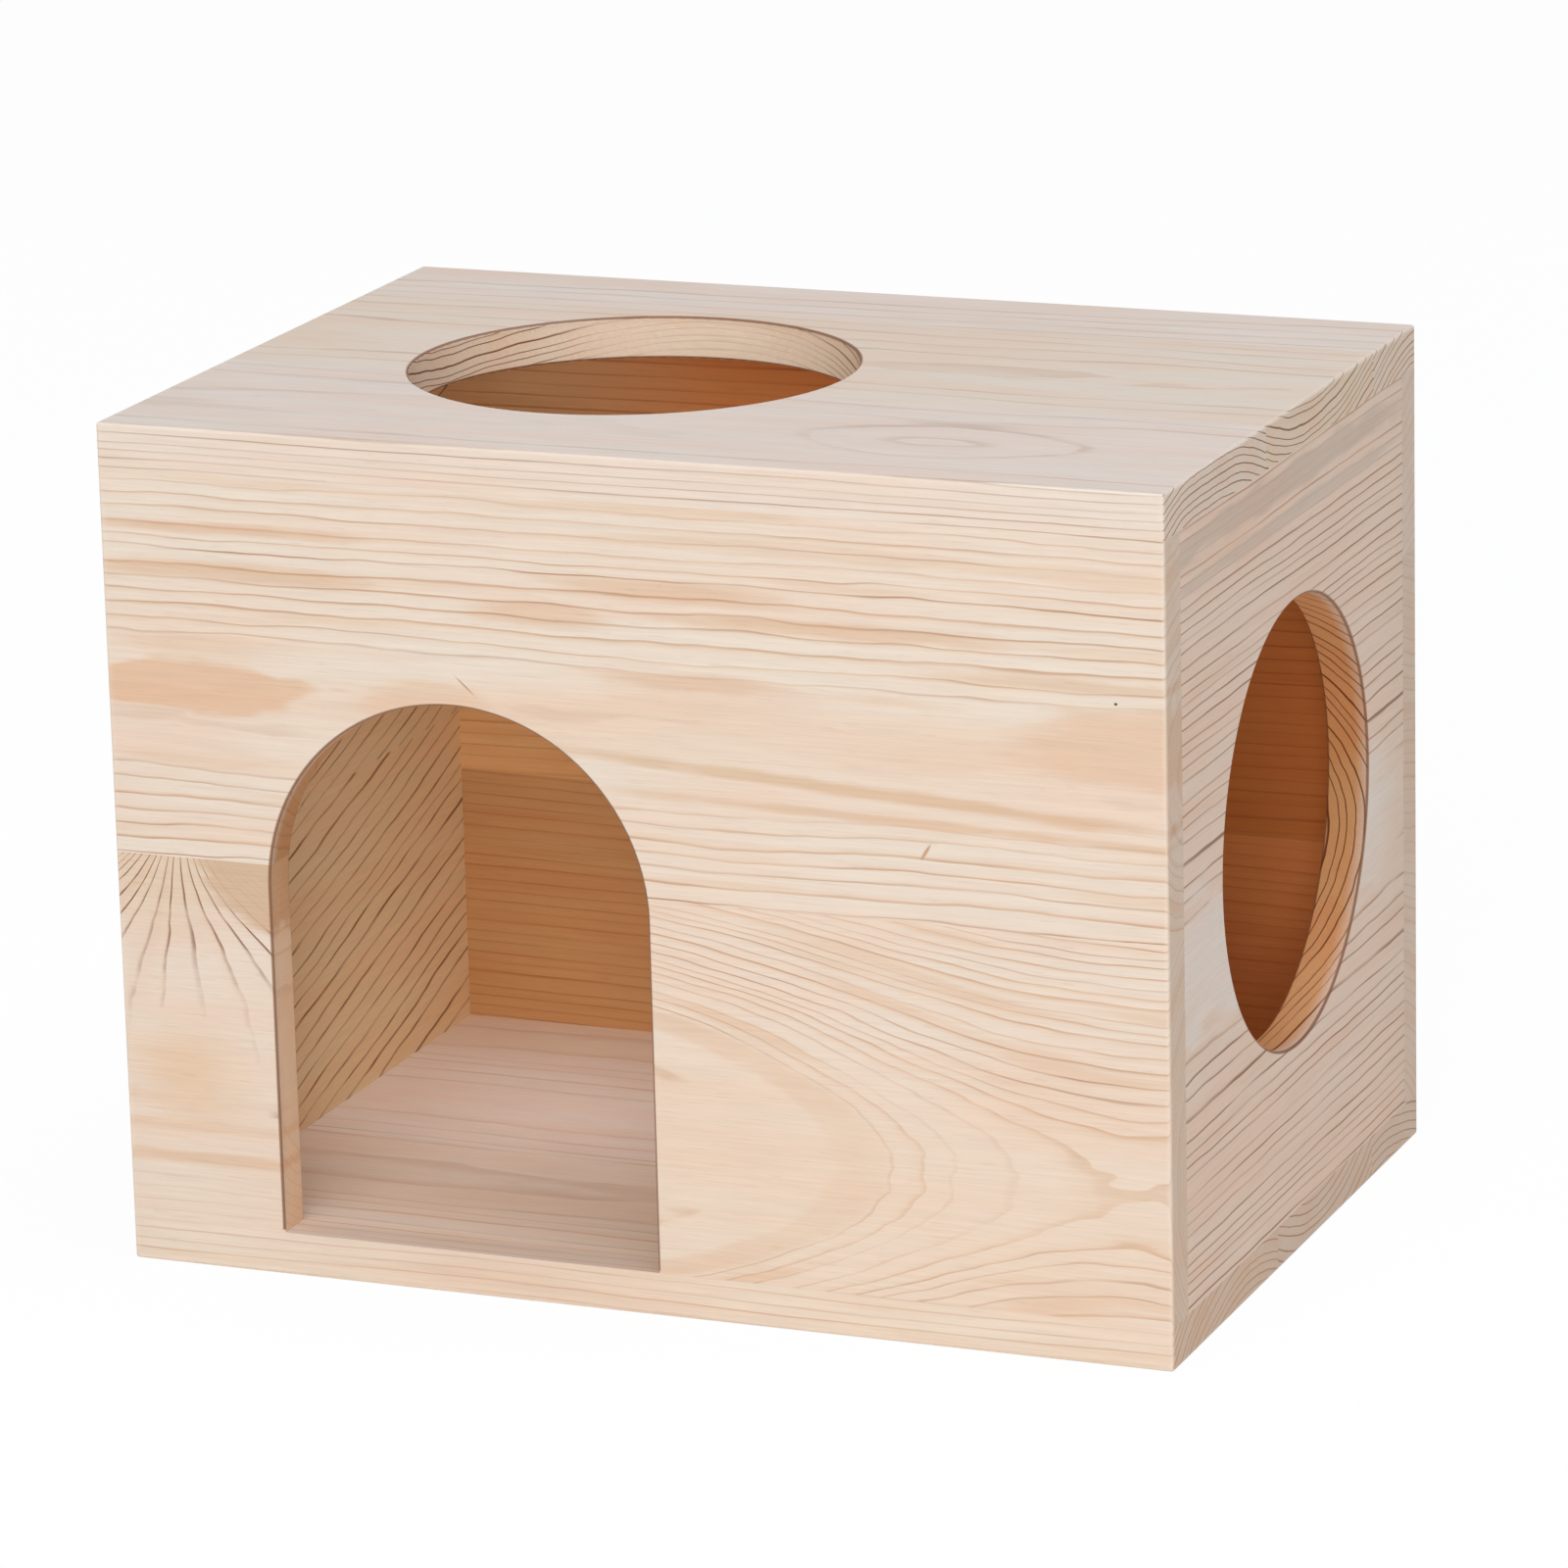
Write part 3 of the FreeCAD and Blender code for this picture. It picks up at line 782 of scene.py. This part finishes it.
@dataclass
class Roof(Panel):
    """The roof: a board with its heart below, one with its heart above, and a slanting one."""

    lay: Lay = Lay.ROOF
    boards: dict[str, Figure] = field(
        default_factory=lambda: {
            "roof_board_front": ROOF_BOARD(
                heart=Heart(across=25, depth=88),
                ring=1.5,
                first=0.35,
                sway=1.0,
                lines=0.85,
                bands=0.2,
                inner_line="#855632",
                seed=3.1,
                swells=(Swell((50, 26, 0), (31, 12, 8), 3.5),),
                patches=(
                    Patch((0, 30), (600, 29.4), quiet=0.6, soft=0.02, wander=0),
                    Patch((-12, 22), (50, 9), quiet=0.26),
                ),
            ),
            "roof_board_middle": ROOF_BOARD(
                heart=Heart(across=80, depth=-85),
                ring=1.5,
                sway=1.0,
                lines=0.36,
                bands=0.2,
                tint="#FFFDF7",
                inner_line="#855632",
                seed=7.7,
            ),
            "roof_board_rear": ROOF_BOARD(
                heart=Heart(across=142, depth=62, climb=0.03),
                ring=1.45,
                sway=0.6,
                lines=0.4,
                bands=0.25,
                seed=11.9,
            ),
        }
    )


@dataclass
class Floor(Panel):
    """The floor: straight grain along its front edge."""

    lay: Lay = Lay.FLOOR
    boards: dict[str, Figure] = field(
        default_factory=lambda: {
            "floor_board_front": Figure(
                heart=Heart(across=40, depth=-45),
                ring=1.7,
                lines=0.5,
                bands=0.3,
                line="#C28F68",
                tint="#FFFDF9",
                inner=NO_TONE,
                seed=15.2,
            ),
            "floor_board_middle": Figure(
                heart=Heart(across=80, depth=60),
                ring=2.0,
                lines=0.35,
                bands=0.25,
                inner=NO_TONE,
                seed=18.4,
            ),
            "floor_board_rear": Figure(
                heart=Heart(across=120, depth=-50),
                ring=1.8,
                lines=0.35,
                bands=0.25,
                inner="#FFFBF4",
                seed=22.6,
            ),
        }
    )


@dataclass
class FrontWall(Panel):
    """The front wall: a wide upper board over one that the doorway parts in two.

    The saw ran along a growth ring of the upper board just over the doorway, so its grain is broad
    and plain there. The lower board was cut near a fork: its rings end in tongues on the right, and
    on the left they fan out from a knot that the saw took off.
    """

    lay: Lay = Lay.FRONT
    boards: dict[str, Figure] = field(
        default_factory=lambda: {
            "front_board_upper": WALL_BOARD(
                heart=Heart(across=106, depth=14),
                ring=2.2,
                young=17,
                wide=6,
                sway=1.2,
                ripple=0.62,
                lines=0.9,
                tint="#FFFFFD",
                inner="#FFF6E4",
                reveal="#E2BE97",
                gold_fade=(5.5, 7.9),
                seed=27.3,
                patches=(
                    Patch((-80, 103), (60, 8), "#FFFCF8", quiet=0.75, soft=0.3),
                    Patch((60, 103), (80, 7), "#FFFDFA", quiet=0.85, soft=0.3),
                    Patch((20, 108), (95, 6), "#FDF6EE", quiet=0.9),
                    Patch((-84, 109), (23, 4.6), "#F8E3D0", quiet=0.9, soft=0.16),
                    Patch((-39, 110), (12, 3.2), "#FAEBDD", quiet=0.9, turn=6, soft=0.3),
                    Patch((99, 111), (26, 7), "#F9E9DA", quiet=0.9, soft=0.3),
                    Patch((-74, 130.5), (30, 1.7), "#F6E9DB"),
                    Patch((-76, 138), (26, 1.0), "#F6E9DB"),
                    Patch((-16, 127), (12, 2.2), "#F7EBDE"),
                    Patch((8, 133), (20, 1.8), "#F6E9DB"),
                    Patch((42, 128), (34, 1.5), "#F6E9DB"),
                    Patch((14, 116.8), (20, 1.5), "#F6E9DB"),
                    Patch((80, 121.5), (24, 1.2), "#F6E9DB"),
                    Patch((44, 99.8), (66, 1.1), "#F2E1CD", turn=-3.2, soft=0.6, wander=1.6),
                    Patch((50, 95), (52, 0.8), "#F5E8D8", turn=-1.5, soft=0.6, wander=1.6),
                    Patch((91, 119), (0.3, 0.25), "#7A563C", soft=0.3, wander=0),
                    Patch((56, 90), (1.5, 0.3), "#DCBFA4", turn=58, wander=0),
                    Patch((-30, 113), (2.2, 0.14), "#D2AE8C", turn=-42, wander=0),
                ),
            ),
            "front_board_lower_right": WALL_BOARD(
                heart=Heart(across=32, depth=8, dive=0.53, sag=-0.0028),
                ring=1.4,
                young=27,
                wide=12.5,
                sway=0.9,
                ripple=0.45,
                lines=0.75,
                bands=0.7,
                tint="#FFFDFA",
                seed=31.5,
                patches=(
                    Patch((46, 29), (66, 20), "#FFF9F2", quiet=0.72, soft=0.5),
                    Patch((10, 36), (17, 18), "#FFF9F2", quiet=0.5, soft=0.5),
                ),
            ),
            "front_board_lower_left": WALL_BOARD(
                heart=Heart(across=37, depth=18),
                ring=2.0,
                young=19,
                wide=8,
                lines=1.5,
                bands=0.4,
                line="#84573A",
                end="#FFF8EE",
                reveal="#FFF4E8",
                gold_fade=(5.5, 7.9),
                seed=35.8,
                fan=Fan((-87.6, 77), 1.25, (33, 39), flare=2.05),
                patches=(
                    Patch((-85, 10), (60, 24), "#FFFCF8", quiet=0.9, soft=0.3),
                    Patch((-85, 31.5), (26, 1.3), "#F6E6D5", wander=0.8),
                    Patch((-85, 26.5), (26, 1.1), "#F6E6D5", wander=0.8),
                    Patch((-85, 20.5), (26, 1.2), "#F6E6D5", wander=0.8),
                    Patch((-85, 42), (34, 15), "#FFFDFA", quiet=0.9, soft=0.7),
                    Patch((-87, 37), (9, 8), "#FCEFDE", quiet=1.0, soft=0.8),
                    Patch((-92, 74), (16, 11), "#F8ECDF", soft=0.7),
                    Patch((-68, 77), (15, 12.5), "#E9D6C1", quiet=0.9, soft=0.14, wander=0.5),
                ),
            ),
        }
    )


@dataclass
class BackWall(Panel):
    """The back wall: three boards with painted shade inside, darker towards the right."""

    lay: Lay = Lay.BACK
    boards: dict[str, Figure] = field(
        default_factory=lambda: {
            "back_board_lower": WALL_BOARD(
                heart=Heart(across=-20, depth=24, dive=0.05),
                ring=2.1,
                lines=0.45,
                bands=0.5,
                tint="#FFFDFA",
                inner="#D6AF82",
                deep="#DE9C62",
                turn_gold=(-20, 70),
                seed=39.4,
            ),
            "back_board_middle": WALL_BOARD(
                heart=Heart(across=220, depth=-30, climb=0.02),
                ring=2.3,
                lines=0.45,
                bands=0.45,
                tint="#FBF7F2",
                inner="#F6D2A2",
                deep="#D08C4C",
                turn_gold=(-95, 20),
                seed=43.9,
            ),
            "back_board_upper": WALL_BOARD(
                heart=Heart(across=190, depth=26, dive=0.03),
                ring=2.4,
                lines=0.6,
                bands=0.4,
                inner="#FCE2BC",
                deep="#E4A163",
                turn_gold=(-85, -25),
                seed=47.1,
            ),
        }
    )


@dataclass
class LeftWall(Panel):
    """The left wall: two boards whose grain climbs to the back."""

    lay: Lay = Lay.LEFT
    boards: dict[str, Figure] = field(
        default_factory=lambda: {
            name: Figure(
                heart=heart,
                ring=ring,
                sway=1.6,
                ripple=0.5,
                lines=1.15,
                bands=0.15,
                line="#C39A78",
                inner_line="#875A38",
                inner="#FFF2D0",
                seed=seed,
            )
            for name, heart, ring, seed in (
                ("left_board_lower", Heart(across=-45, depth=-30, climb=0.3), 3.3, 52.2),
                ("left_board_upper", Heart(across=20, depth=30, climb=0.33), 3.1, 55.0),
            )
        }
    )


@dataclass
class RightWall(Panel):
    """The right wall: two boards off the same plank, with a broad foot of plain grain between."""

    lay: Lay = Lay.RIGHT
    boards: dict[str, Figure] = field(
        default_factory=lambda: {
            name: Figure(
                heart=Heart(across=66, depth=35),
                ring=1.8,
                sway=0.9,
                ripple=0.3,
                lines=1.5,
                bands=0.3,
                line="#94704F",
                inner_line="#7A4E2D",
                end_lines=1.3,
                tint="#FFF3EA",
                inner="#FFF6E4",
                reveal="#E6BE90",
                gold_fade=(5.5, 7.9),
                seed=61.3,
                patches=(
                    Patch((0, 69), (110, 14), quiet=1.0, soft=0.25, wander=1.4),
                    Patch((0, 143.5), (78, 2.6), "#E9DFD6", quiet=0.8, soft=0.3, wander=1.6),
                    Patch((0, 137), (70, 1.4), "#EDE4DC", quiet=0.8, soft=0.3, wander=1.6),
                    Patch((68, 70), (16, 90), "#F9EFE4", soft=0.6),
                ),
            )
            for name in ("right_board_lower", "right_board_upper")
        }
    )


@dataclass
class Dowels:
    """The blind dowels between the panels."""

    names: tuple[str, ...] = ("roof_dowels", "floor_dowels", "front_dowels", "back_dowels")

    def dress(self, beech: TurnedBeech) -> None:
        """Give the dowels their finish.

        Args:
            beech: The finish of dowel rod.
        """
        made = beech.material()
        for name in self.names:
            apply_finish(name, made, beech.name)


@dataclass(frozen=True)
class Lamp:
    """A soft box: where it stands and points in metres, its size, power and colour."""

    name: str
    place: Triple
    size: float
    watts: float
    colour: str
    target: Triple = (0.0, 0.0, 0.08)


@dataclass
class Studio:
    """A pale floor under soft lamps, and the camera.

    Places are in metres, turns in degrees, and lens and sensor in mm. sight is how near and how far
    the camera sees.
    """

    floor_half: float = 6.0
    floor_tone: str = "#F7F7F6"
    floor_roughness: float = 0.5
    floor_glow: float = 0.95
    lamps: tuple[Lamp, ...] = (
        Lamp("key_lamp", (0.0, -1.94, 1.15), 1.6, 12.6, "#FFF8F0"),
        Lamp("low_lamp", (0.74, -2.04, 0.42), 0.7, 9.9, "#FFF8F0"),
        Lamp("top_lamp", (0.48, -0.13, 2.33), 1.6, 28.5, "#E2EAFC"),
    )
    sky: str = "#F6F6F6"
    sky_strength: float = 0.4
    white: tuple[float, float, float, float] = (1.0, 1.0, 1.0, 1.0)
    aim: Triple = (0.0012663, 0.0, 0.0790821)
    reach: float = 1.43285
    azimuth: float = 22.2863
    elevation: float = 15.4970
    roll: float = -1.4478
    lens: float = 179.958
    sensor: float = 36.0
    sight: Pair = (0.05, 50.0)

    def lay_floor(self) -> None:
        """Lay the floor: one flat face that shows the shadow and reads white to the eye."""
        half = self.floor_half
        corners = [(-half, -half, 0), (half, -half, 0), (half, half, 0), (-half, half, 0)]
        mesh = bpy.data.meshes.new("floor")
        mesh.from_pydata(corners, [], [(0, 1, 2, 3)])
        floor = bpy.data.objects.new("studio_floor", mesh)
        bpy.context.scene.collection.objects.link(floor)
        made, graph = new_material("matt_white_board")
        add = graph.add
        paths = add("LightPath").node.outputs
        seen = add("Math", paths["Is Camera Ray"], paths["Is Glossy Ray"], operation="MAXIMUM")
        seen = add("Math", seen, paths["Is Transmission Ray"], operation="MAXIMUM")
        glow = add("Math", seen, self.floor_glow, operation="MULTIPLY")
        matt = add("BsdfDiffuse", linear(self.floor_tone), self.floor_roughness)
        white = add("Emission", self.white, 1.0)
        add("OutputMaterial", add("MixShader", glow, matt, white))
        mesh.materials.append(made)

    def light(self) -> None:
        """Hang the lamps and set the sky, which is plain white to the eye."""
        for lamp in self.lamps:
            data = bpy.data.lights.new(lamp.name, "AREA")
            data.shape = "DISK"
            data.size = lamp.size
            data.energy = lamp.watts
            data.color = linear(lamp.colour)[:3]
            hung = bpy.data.objects.new(lamp.name, data)
            hung.location = lamp.place
            way = Vector(lamp.target) - Vector(lamp.place)
            hung.rotation_euler = way.to_track_quat("-Z", "Y").to_euler()
            bpy.context.scene.collection.objects.link(hung)
        world = bpy.data.worlds.new("studio_sky")
        world.use_nodes = True
        world.node_tree.nodes.clear()
        add = Graph(world.node_tree).add
        paths = add("LightPath").node.outputs
        seen = add("Math", paths["Is Camera Ray"], paths["Is Transmission Ray"], operation="MAXIMUM")
        sky = add("Background", linear(self.sky), self.sky_strength)
        white = add("Background", self.white, 1.0)
        add("OutputWorld", add("MixShader", seen, sky, white))
        bpy.context.scene.world = world

    def place_camera(self) -> None:
        """Set up the camera: it looks at aim from reach metres away, turned by roll."""
        turn, rise, roll = (math.radians(a) for a in (self.azimuth, self.elevation, self.roll))
        level = math.cos(rise)
        back = Vector((math.sin(turn) * level, -math.cos(turn) * level, math.sin(rise)))
        right = Vector((0, 0, 1)).cross(back).normalized()
        up = back.cross(right)
        across = math.cos(roll) * right + math.sin(roll) * up
        upright = math.cos(roll) * up - math.sin(roll) * right
        turned = Matrix((across, upright, back)).transposed().to_4x4()
        data = bpy.data.cameras.new("camera")
        data.sensor_width = self.sensor
        data.lens = self.lens
        data.clip_start, data.clip_end = self.sight
        camera = bpy.data.objects.new("camera", data)
        camera.matrix_world = Matrix.Translation(Vector(self.aim) + self.reach * back) @ turned
        bpy.context.scene.collection.objects.link(camera)
        bpy.context.scene.camera = camera

    def build(self) -> None:
        """Set up the whole studio."""
        self.lay_floor()
        self.light()
        self.place_camera()
        bpy.context.scene.view_settings.view_transform = "Standard"
        LOG.info("studio: %d lamps", len(self.lamps))


def main() -> None:
    """Dress the house panel by panel and set it in the studio."""
    logging.basicConfig(level=logging.INFO, format="%(name)s: %(message)s")
    pine = SandedPine()
    pine.rings()
    pine.edges()
    for panel in (Roof(), Floor(), FrontWall(), BackWall(), LeftWall(), RightWall()):
        panel.dress(pine)
    Dowels().dress(TurnedBeech())
    Studio().build()


if __name__ == "__main__":
    main()
